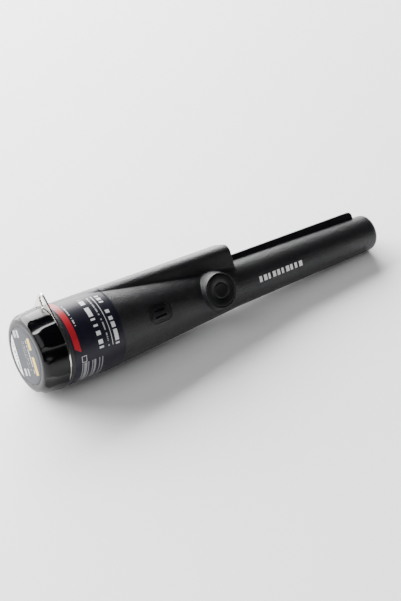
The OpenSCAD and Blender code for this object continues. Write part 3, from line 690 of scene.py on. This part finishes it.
class PROBE_OT_neck(bpy.types.Operator):
    """Makes the neck behind the grip, with its seal groove, shoulder and thread"""
    bl_idname = "probe.neck"
    bl_label = "Neck"

    def execute(self, context):
        """The neck is a closed profile turned round the axis. The thread is a trapezium carried along a
        helix of the cap's own pitch; its height fades in and out over its ends."""
        tool = Tool()
        start = span("body_shell")[0][0]
        seal_low, seal_high = span("cap_seal")
        neck_r, shoulder_r, bore_r = 17.9, 18.4, 16.3
        back, shoulder_x, end = seal_low[0], tool.body_x - 1.4, tool.body_x + 0.6
        bevel, groove, corner = 0.4, 0.6, 0.2
        profile = [(end, bore_r), (start, bore_r), (start, neck_r - bevel), (start + bevel, neck_r),
                   (back, neck_r), (back, neck_r - groove), (shoulder_x, neck_r - groove),
                   (shoulder_x, shoulder_r - corner), (shoulder_x + corner, shoulder_r), (end, shoulder_r)]
        neck = revolved("neck", profile, closed=True, columns=128)
        finish_piece(neck, "housing", "shell_plastic", "body_shell")
        pitch = 2 * math.pi * CAP_ADVANCE / MM
        last, fading = 3 * math.pi, 0.35
        turn = np.linspace(0, last, 220)[:, None]
        fade = smooth_step(turn, 0, fading) * (1 - smooth_step(turn, last - fading, last))
        along = np.array([-0.62, -0.34, 0.34, 0.62])
        raised = np.array([-0.3, 0.8, 0.8, -0.3])
        radius = neck_r + np.where(raised > 0, raised * fade, raised)
        x = start + 1.4 + pitch * turn / (2 * math.pi) + along
        ridge = np.stack([x, radius * np.cos(turn), radius * np.sin(turn)], -1)
        thread = surface("neck_thread", ridge, around=True, start_pole=True, end_pole=True, sharp=40)
        finish_piece(thread, "housing", "shell_plastic")
        return {"FINISHED"}


class PROBE_OT_collar(bpy.types.Operator):
    """Makes the collar that stands round the button and flares into the body"""
    bl_idname = "probe.collar"
    bl_label = "Button collar"

    def execute(self, context):
        """Rows are rings round the button's axis. Inside the land the depth follows the well's wall and
        floor. Outside it, the depth is the smooth larger of a steep cone and the body's own surface."""
        tool = Tool()
        face = -tool.button_low[1]
        inner = tool.button_r + 0.3
        outer = inner + tool.collar_land
        top, floor = face - 0.2, -tool.button_high[1] - 0.8
        lip = 0.3
        wall = [(inner * 0.5, floor), (inner, floor), (inner, top - lip)]
        land = [*arc((inner + lip, top - lip), lip, 180, 90, 4)[1:].tolist(),
                *arc((outer - lip, top - lip), lip, 90, 20, 5).tolist()]
        rows = np.array(wall + land)
        spread = np.linspace(0, 1, 44)[1:]
        foot = outer + 4.8 * spread**1.5
        angle = circle_angles(160)
        radius = np.concatenate([rows[:, 0], foot])[:, None]
        x = tool.button[0] + radius * np.cos(angle)
        z = radius * np.sin(angle)
        cone = top - 1.0 - (radius - outer) * (face - 10.2) / tool.collar_flare
        body = tool.side_depth(x, z)
        foot_depth = smooth_max(np.minimum(cone, top - lip), body, tool.collar_blend) + 0.03
        foot_depth[-1] -= 0.15
        depth = np.concatenate([rows[:, 1:] + 0 * angle, foot_depth[len(rows):]])
        grid = np.stack([x, -depth, z], -1)
        collar = surface("button_collar", grid, around=True, start_pole=True, sharp=48,
                         inside=(tool.button[0], 0, 0))
        finish_piece(collar, "housing", "shell_plastic")
        return {"FINISHED"}


class PROBE_OT_button(bpy.types.Operator):
    """Makes the rubber button with its ring groove"""
    bl_idname = "probe.button"
    bl_label = "Button"

    def execute(self, context):
        """A profile turned round the button's axis: a rounded rim, a very slightly dished face, and a
        round-bottomed groove."""
        tool = Tool()
        # the foot stands clear of the body by a little more than the button's travel
        low, face, edge = 0.65 - tool.button_high[1], -tool.button_low[1], 0.55
        groove_in, groove_out, dish = 3.95, 4.85, 0.3
        rim = arc((face - edge, tool.button_r - edge), edge, 90, 0, 6)
        bottom = (groove_in + groove_out) / 2
        groove = [(face - 0.06, groove_out + 0.12), (face - 0.16, groove_out), (face - 0.5, bottom + 0.1),
                  (face - 0.5, bottom - 0.1), (face - 0.16, groove_in), (face - 0.08, groove_in - 0.12)]
        centre = [(face - 0.08 - dish * (1 - (r / groove_in) ** 2), r) for r in (3.4, 2.6, 1.8, 1.0, 0.4)]
        profile = [(low, 0.6), (low, tool.button_r)] + rim.tolist() + groove + centre
        button = revolved("button", profile, centre=(tool.button[0], 0, 0), axis="button", columns=128,
                          start_pole=True, end_pole=True, sharp=50)
        finish_piece(button, "button", "button_rubber", "button_boot")
        return {"FINISHED"}


class PROBE_OT_grille(bpy.types.Operator):
    """Makes the sounder's panel with its grooves and slots"""
    bl_idname = "probe.grille"
    bl_label = "Sounder panel"

    def execute(self, context):
        """A patch over the taper's surface. Its height is 0 at the border, drops in a groove round the
        panel and a second one inside it, and falls away inside the two slots; distances to the rounded
        rectangles give the grooves."""
        tool = Tool()
        low, high = span("speaker_grille")
        half_u, half_v = (high[0] - low[0]) / 2, (high[2] - low[2]) / 2
        u = np.linspace(-half_u - 1.7, half_u + 1.7, 210)[:, None]
        v = np.linspace(-half_v - 1.7, half_v + 1.7, 170)[None, :]
        edge = rounded_box(u, v, half_u, half_v, 2.2)
        raised = 0.03 - 0.35 * smooth_step(edge, 1.15, 1.45)
        for centre, width, depth in ((0.1, 0.34, 0.55), (-0.95, 0.26, 0.4)):
            raised = raised - depth * (1 - smooth_step(np.abs(edge - centre), width * 0.4, width))
        for side in (-1, 1):
            slot = rounded_box(u, v - side * 1.6, 3.7, 0.65, 0.6)
            raised = raised - 1.3 * (1 - smooth_step(slot, -0.12, 0.1))
        x = tool.grille[0] + u + 0 * v
        angle = np.arcsin((v - tool.height(x)) / tool.radius(x))
        grid = ring_points(x, tool.radius(x) + raised, angle, tool.height(x))
        panel = surface("sounder_panel", grid, inside=(tool.grille[0], 0, 0), sharp=60)
        finish_piece(panel, "housing", "trim_plastic", "speaker_grille")
        return {"FINISHED"}


class PROBE_OT_blade(bpy.types.Operator):
    """Makes the scraper blade with its rounded edge and nose"""
    bl_idname = "probe.blade"
    bl_label = "Scraper blade"

    def execute(self, context):
        """Rows are cuts across the blade. Its top follows a straight line and then a quarter circle at the
        nose; each cut runs up one side, over two rounded corners and down the other side, and its foot
        spreads a little into the probe."""
        tool = Tool()
        low, high = span("scraper_blade")
        half, nose, round_r = (high[1] - low[1]) / 2, 2.4, 0.45
        rise, end_top = 0.6, high[2]
        straight = np.linspace(tool.face_x - 0.6, high[0] - nose, 60)
        curve = np.radians(np.linspace(0, 82, 12))[1:]
        x = np.concatenate([straight, high[0] - nose + nose * np.sin(curve)])
        start_top = end_top - rise
        top = np.concatenate([start_top + rise * np.linspace(0, 1, 60), end_top - nose * (1 - np.cos(curve))])
        foot = tool.height(x) + tool.radius(x) - 1.4
        corner = np.radians(np.linspace(0, 90, 5))
        side_y = np.concatenate([[half + 0.35, half + 0.12, half], half - round_r * (1 - np.cos(corner))])
        lift = np.concatenate([[0, 0, 0], round_r * np.sin(corner) - round_r])
        share = np.concatenate([[0.25, 0.42, 0.62], np.ones(5)])
        z = foot[:, None] + (top - foot)[:, None] * share + lift
        z[:, :3] = foot[:, None] + [1.15, 1.5, 2.0]
        z = np.minimum(z, top[:, None])
        half_cut = np.stack([x[:, None] + 0 * z, -side_y + 0 * z, z], -1)
        other = half_cut[:, ::-1] * np.array([1, -1, 1])
        base = np.stack([np.stack([x, y + 0 * x, foot], -1) for y in (half, -half)], 1)
        grid = np.concatenate([half_cut, other, base], 1)
        blade = surface("blade", grid, around=True, start_pole=True, end_pole=True, sharp=50)
        finish_piece(blade, "housing", "blade_plastic", "scraper_blade")
        return {"FINISHED"}


class PROBE_OT_lamp(bpy.types.Operator):
    """Makes the lamp's bezel and the reflector that shows through its lens"""
    bl_idname = "probe.lamp"
    bl_label = "Lamp bezel"

    def execute(self, context):
        """Two profiles turned round the lens's axis: a rounded rim, and a shallow cup round a small dome."""
        tool = Tool()
        x, centre, inner, width = tool.face_x, (0, 0, tool.lens_z), tool.lens_r + 0.03, 0.45
        proud = x + 0.1
        round_edge = arc((proud, inner + width / 2), width / 2, -90, 90, 9).tolist()
        rim = [(x - 0.2, inner), (proud, inner), *round_edge, (proud, inner + width),
               (x - 0.2, inner + width)]
        bezel = revolved("lamp_bezel", rim, centre=centre, closed=True, columns=72)
        finish_piece(bezel, "housing", "trim_plastic")
        dome = arc((x + 0.14, 0.0), 0.9, 90, 8, 7)
        cup = [(x + 0.5, inner - 0.1), (x + 0.16, 1.25), (x + 0.14, 1.0)] + dome.tolist()
        back = [(proud, 0.3), (proud, inner - 0.1)]
        reflector = revolved("lamp_reflector", back + cup, centre=centre, columns=48, start_pole=True,
                             end_pole=True)
        finish_piece(reflector, "housing", "lamp_epoxy")
        return {"FINISHED"}


class PROBE_OT_grip_label(bpy.types.Operator):
    """Makes the printed film round the grip"""
    bl_idname = "probe.grip_label"
    bl_label = "Grip label"

    def execute(self, context):
        """A film that follows the grip and the start of the taper, a film's thickness above it. Its ends
        turn down to the body, and its seam faces away from the button."""
        tool = Tool()
        start, end = tool.label_x, tool.label_end
        x = np.concatenate([[start] * 2, np.linspace(start, end, 26), [end] * 2])
        lift = tool.label_t * np.concatenate([[-0.4, 0.5], np.ones(26), [0.5, -0.4]])
        x[[2, -3]] += [0.05, -0.05]
        degrees = np.linspace(-180, 180, 361)
        angle = np.radians(degrees)
        radius = tool.skin(x[:, None], angle) + lift[:, None]
        grid = ring_points(x[:, None], radius, angle, tool.height(x[:, None]))
        uv = np.stack(np.broadcast_arrays(x[:, None] / PRINT_MM, degrees / PRINT_DEGREES + 0.5), -1)
        label = surface("grip_label", grid, inside=(30, 0, 0), uv=uv, sharp=60)
        finish_piece(label, "housing", "label_film", "body_label")
        return {"FINISHED"}


class PROBE_OT_probe_print(bpy.types.Operator):
    """Makes the row of plain printed marks on the probe"""
    bl_idname = "probe.probe_print"
    bl_label = "Probe print"

    def execute(self, context):
        """Each mark is a curved patch that lies a thin coat of ink above the probe. Even cells along the
        row hold one mark each; a sine gives each its own width."""
        tool = Tool()
        marks, start, pitch, coat, ink_middle, ink_height = 10, 141.5, 3.15, 0.03, -5.5, 15.0
        across, up = np.meshgrid(np.linspace(0, 1, 6), np.linspace(0, 1, 8), indexing="ij")
        points, faces = [], []
        for mark_index in range(marks):
            wide = 1.9 + 0.45 * math.sin(2.3 * mark_index)
            x = start + mark_index * pitch + wide * across
            angle = np.radians(ink_middle + ink_height * (up - 0.5))
            grid = ring_points(x, tool.radius(x) + coat, angle, tool.height(x)).reshape(-1, 3)
            index = np.arange(across.size).reshape(across.shape) + across.size * mark_index
            corners = [index[:-1, :-1], index[1:, :-1], index[1:, 1:], index[:-1, 1:]]
            faces.append(np.stack(corners, -1).reshape(-1, 4))
            points.append(grid)
        ink = make_mesh("probe_print", np.concatenate(points), np.concatenate(faces).tolist())
        ink.data.materials.append(MATERIALS["ink"])
        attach(ink, "housing")
        return {"FINISHED"}


class PROBE_OT_cap(bpy.types.Operator):
    """Makes the screw cap with its finger flutes"""
    bl_idname = "probe.cap"
    bl_label = "Screw cap"

    def execute(self, context):
        """A closed profile turned round the axis. Each flute is a cylinder beside the cap whose axis
        follows the cap's taper; the radius is the smooth smaller of the profile and the flutes."""
        tool = Tool()
        end = span("cap")[1][0]
        _, label_high = span("end_label")
        rear_r, edge, widening = tool.cap_rear_radius, tool.cap_edge, 0.9
        front_r = rear_r + widening
        recess_r, recess_x, web, bore_r = label_high[1] + 0.1, label_high[0], 2.6, 19.1
        slope = (front_r - rear_r) / (end - 1 - edge)
        rear = arc((edge, rear_r - edge), edge, 180, 90, 15)
        side = [(edge + step * (end - 1 - edge) / 7, rear_r + step * widening / 7) for step in range(1, 8)]
        rim_r = 0.55
        rim = arc((end - rim_r, front_r - rim_r), rim_r, 80, 0, 5)
        profile = np.array([(recess_x, 0.5), (recess_x, recess_r - 0.2), (recess_x - 0.1, recess_r),
                            (0.25, recess_r), (0.05, recess_r + 0.2)] + rear.tolist() + side + rim.tolist()
                           + [(end, bore_r + 0.3), (end - 0.3, bore_r), (web, bore_r), (web, 0.5)])
        x, plain = profile[:, :1], profile[:, 1:]
        angle = circle_angles(384)
        part = 2 * math.pi / tool.flute_count
        offset = (angle + part / 2) % part - part / 2
        deeper = 1.3 * (1 - smooth_step(x, 0.4, 7.0))
        centre = rear_r + (x - edge) * slope - tool.flute_depth - deeper + tool.flute_radius
        side_step = centre * np.sin(offset)
        cut = np.where(np.abs(side_step) < tool.flute_radius * 0.9,
                       centre * np.cos(offset)
                       - np.sqrt(np.maximum(tool.flute_radius**2 - side_step**2, 0.01)), 99.0)
        fluted = -smooth_max(-plain - 0 * cut, -cut, 0.25)
        outside = (np.arange(len(profile)) > 4)[:, None] & (plain > bore_r + 0.5)
        radius = np.where(outside, fluted, plain)
        grid = ring_points(x, radius, angle)
        cap = surface("screw_cap", grid, around=True, start_pole=True, end_pole=True, sharp=40)
        finish_piece(cap, "cap", "cap_plastic", "cap")
        return {"FINISHED"}


class PROBE_OT_end_label(bpy.types.Operator):
    """Makes the printed film in the cap's recess"""
    bl_idname = "probe.end_label"
    bl_label = "End label"

    def execute(self, context):
        """A thin disc: rings that shrink to the centre, with a small turned-down edge."""
        low, high = span("end_label")
        radius = np.array([1.0, 1.0, 0.99, 0.8, 0.6, 0.4, 0.2, 0.02])[:, None] * high[1]
        x = np.array([high[0] - 0.05, low[0] + 0.1] + [low[0]] * 6)[:, None]
        angle = circle_angles(128)
        grid = ring_points(x, radius, angle)
        uv = grid[..., 1:] / PRINT_MM + 0.5
        pole_uv = np.full((1, 2), 0.5)
        disc = surface("end_label_film", grid, around=True, end_pole=True, inside=(5, 0, 0),
                       uv=np.vstack([uv.reshape(-1, 2), pole_uv]), sharp=60)
        finish_piece(disc, "cap", "end_film", "end_label")
        return {"FINISHED"}


class PROBE_OT_ring(bpy.types.Operator):
    """Makes the stamped lanyard ring with its ear and rolled edges"""
    bl_idname = "probe.ring"
    bl_label = "Lanyard ring"

    def execute(self, context):
        """A filled outline with rounded edges. The outline is an arc of the ring, a straight flank, the
        ear's arc and the other flank; the holes are a circle and a keyhole."""
        tool = Tool()
        middle_x = (tool.ring_low[0] + tool.ring_high[0]) / 2
        half, edge = (tool.ring_high[0] - tool.ring_low[0]) / 2, tool.ring_edge
        ear_dir = np.radians(75)
        eye, ear_r, ring_r, hole_r = 26.4, tool.eye_radius + tool.ear_wall, 21.2, 18.5
        reach = math.acos((ring_r - ear_r) / eye)
        flank = np.linspace(reach, 2 * math.pi - reach, 120)
        ear = np.linspace(-reach, reach, 40)
        outline = np.concatenate([ring_r * spokes(flank), [eye, 0] + ear_r * spokes(ear)])
        slot_r, slot_in = 1.35, 2.5
        meet = math.acos(-math.sqrt(1 - (slot_r / tool.eye_radius) ** 2))
        far = np.linspace(-meet, meet, 32)
        near = np.linspace(math.pi / 2, 3 * math.pi / 2, 16)
        keyhole = np.concatenate([[eye, 0] + tool.eye_radius * spokes(far),
                                  [eye - slot_in, 0] + slot_r * spokes(near)])
        hole = hole_r * spokes(circle_angles(120))
        curve = bpy.data.curves.new("lanyard_ring_outline", "CURVE")
        curve.dimensions, curve.fill_mode = "2D", "BOTH"
        curve.extrude, curve.bevel_depth, curve.offset = half - edge, edge, -edge
        curve.bevel_resolution = 3
        for path in (outline, keyhole, hole):
            spline = curve.splines.new("POLY")
            spline.points.add(len(path) - 1)
            spline.points.foreach_set("co", np.column_stack([path, 0 * path]).ravel())
            spline.use_cyclic_u = True
        flat = shown("lanyard_ring_outline", curve)
        context.view_layer.update()
        mesh = bpy.data.meshes.new_from_object(flat.evaluated_get(context.evaluated_depsgraph_get()))
        bpy.data.objects.remove(flat)
        co = np.empty(3 * len(mesh.vertices))
        mesh.vertices.foreach_get("co", co)
        outward, sideways, depth = co.reshape(-1, 3).T
        points = np.stack([middle_x + depth,
                           -outward * math.cos(ear_dir) + sideways * math.sin(ear_dir),
                           outward * math.sin(ear_dir) + sideways * math.cos(ear_dir)], -1)
        faces = [list(face.vertices)[::-1] for face in mesh.polygons]
        ring = make_mesh("ring", points, faces, sharp=50)
        bpy.data.meshes.remove(mesh)
        finish_piece(ring, "ring", "nickel_plate", "lanyard_ring")
        return {"FINISHED"}


# ---------------------------------------------------------------- stage

class PROBE_OT_stage(bpy.types.Operator):
    """Makes the floor, the lights and the camera"""
    bl_idname = "probe.stage"
    bl_label = "Stage"

    def execute(self, context):
        stage = context.scene.probe_stage
        floor_z, side = CAD_BOX[0][2], 3.0
        corners = [(x * side, y * side, floor_z) for x, y in ((-1, -1), (1, -1), (1, 1), (-1, 1))]
        mesh = bpy.data.meshes.new("floor")
        mesh.from_pydata(corners, [], [(0, 1, 2, 3)])
        floor = shown("floor", mesh)
        paper, _, _ = new_material("Matt white paper", base_color=linear(stage.floor_colour), roughness=0.6)
        mesh.materials.append(paper)
        for name, place_at, size, watts in (("back_softbox", (-0.35, 1.45, 0.75), (3.2, 1.3), 260.0),
                                            ("left_softbox", (-1.5, -0.5, 1.5), (2.4, 2.0), 34.0)):
            lamp = bpy.data.lights.new(name, "AREA")
            lamp.shape, lamp.energy = "RECTANGLE", watts
            lamp.size, lamp.size_y = size
            light = shown(name, lamp)
            light.location = place_at
            light.rotation_euler = (-Vector(place_at)).to_track_quat("-Z", "Y").to_euler()
        world = bpy.data.worlds.new("studio")
        world.use_nodes = True
        backdrop = world.node_tree.nodes["Background"]
        backdrop.inputs["Color"].default_value = linear("#eef1f5")
        backdrop.inputs["Strength"].default_value = 0.06
        context.scene.world = world
        view = Vector((math.sin(stage.azimuth) * math.cos(stage.elevation),
                       -math.cos(stage.azimuth) * math.cos(stage.elevation), math.sin(stage.elevation)))
        data = bpy.data.cameras.new("camera")
        data.sensor_fit = "VERTICAL"
        data.angle = stage.view_angle
        camera = shown("camera", data)
        camera.location = Vector(stage.aim) + view * stage.distance
        camera.rotation_euler = (-view).to_track_quat("-Z", "Y").to_euler()
        context.scene.camera = camera
        return {"FINISHED"}


class PROBE_PT_panel(bpy.types.Panel):
    """Lists the steps that build the probe's looks"""
    bl_idname = "PROBE_PT_panel"
    bl_label = "Pinpointer Probe"
    bl_space_type = "VIEW_3D"
    bl_region_type = "UI"
    bl_category = "Probe"

    def draw(self, context):
        for group in ("probe_sizes", "probe_colours", "probe_stage"):
            column = self.layout.column()
            settings = getattr(context.scene, group)
            for name in type(settings).__annotations__:
                column.prop(settings, name)
        for step in STEPS:
            self.layout.operator(step.bl_idname)


STEPS = (PROBE_OT_finishes, PROBE_OT_shell, PROBE_OT_neck, PROBE_OT_collar, PROBE_OT_button,
         PROBE_OT_grille, PROBE_OT_blade, PROBE_OT_lamp, PROBE_OT_grip_label, PROBE_OT_probe_print,
         PROBE_OT_cap, PROBE_OT_end_label, PROBE_OT_ring, PROBE_OT_stage)
CLASSES = (ProbeSizes, ProbeColours, ProbeStage, *STEPS, PROBE_PT_panel)


def register():
    for cls in CLASSES:
        bpy.utils.register_class(cls)
    bpy.types.Scene.probe_sizes = PointerProperty(type=ProbeSizes)
    bpy.types.Scene.probe_colours = PointerProperty(type=ProbeColours)
    bpy.types.Scene.probe_stage = PointerProperty(type=ProbeStage)


def unregister():
    del bpy.types.Scene.probe_stage, bpy.types.Scene.probe_colours, bpy.types.Scene.probe_sizes
    for cls in reversed(CLASSES):
        bpy.utils.unregister_class(cls)


def main():
    """Builds every piece in order."""
    register()
    for step in STEPS:
        group, name = step.bl_idname.split(".")
        getattr(getattr(bpy.ops, group), name)()


if __name__ == "__main__":
    main()
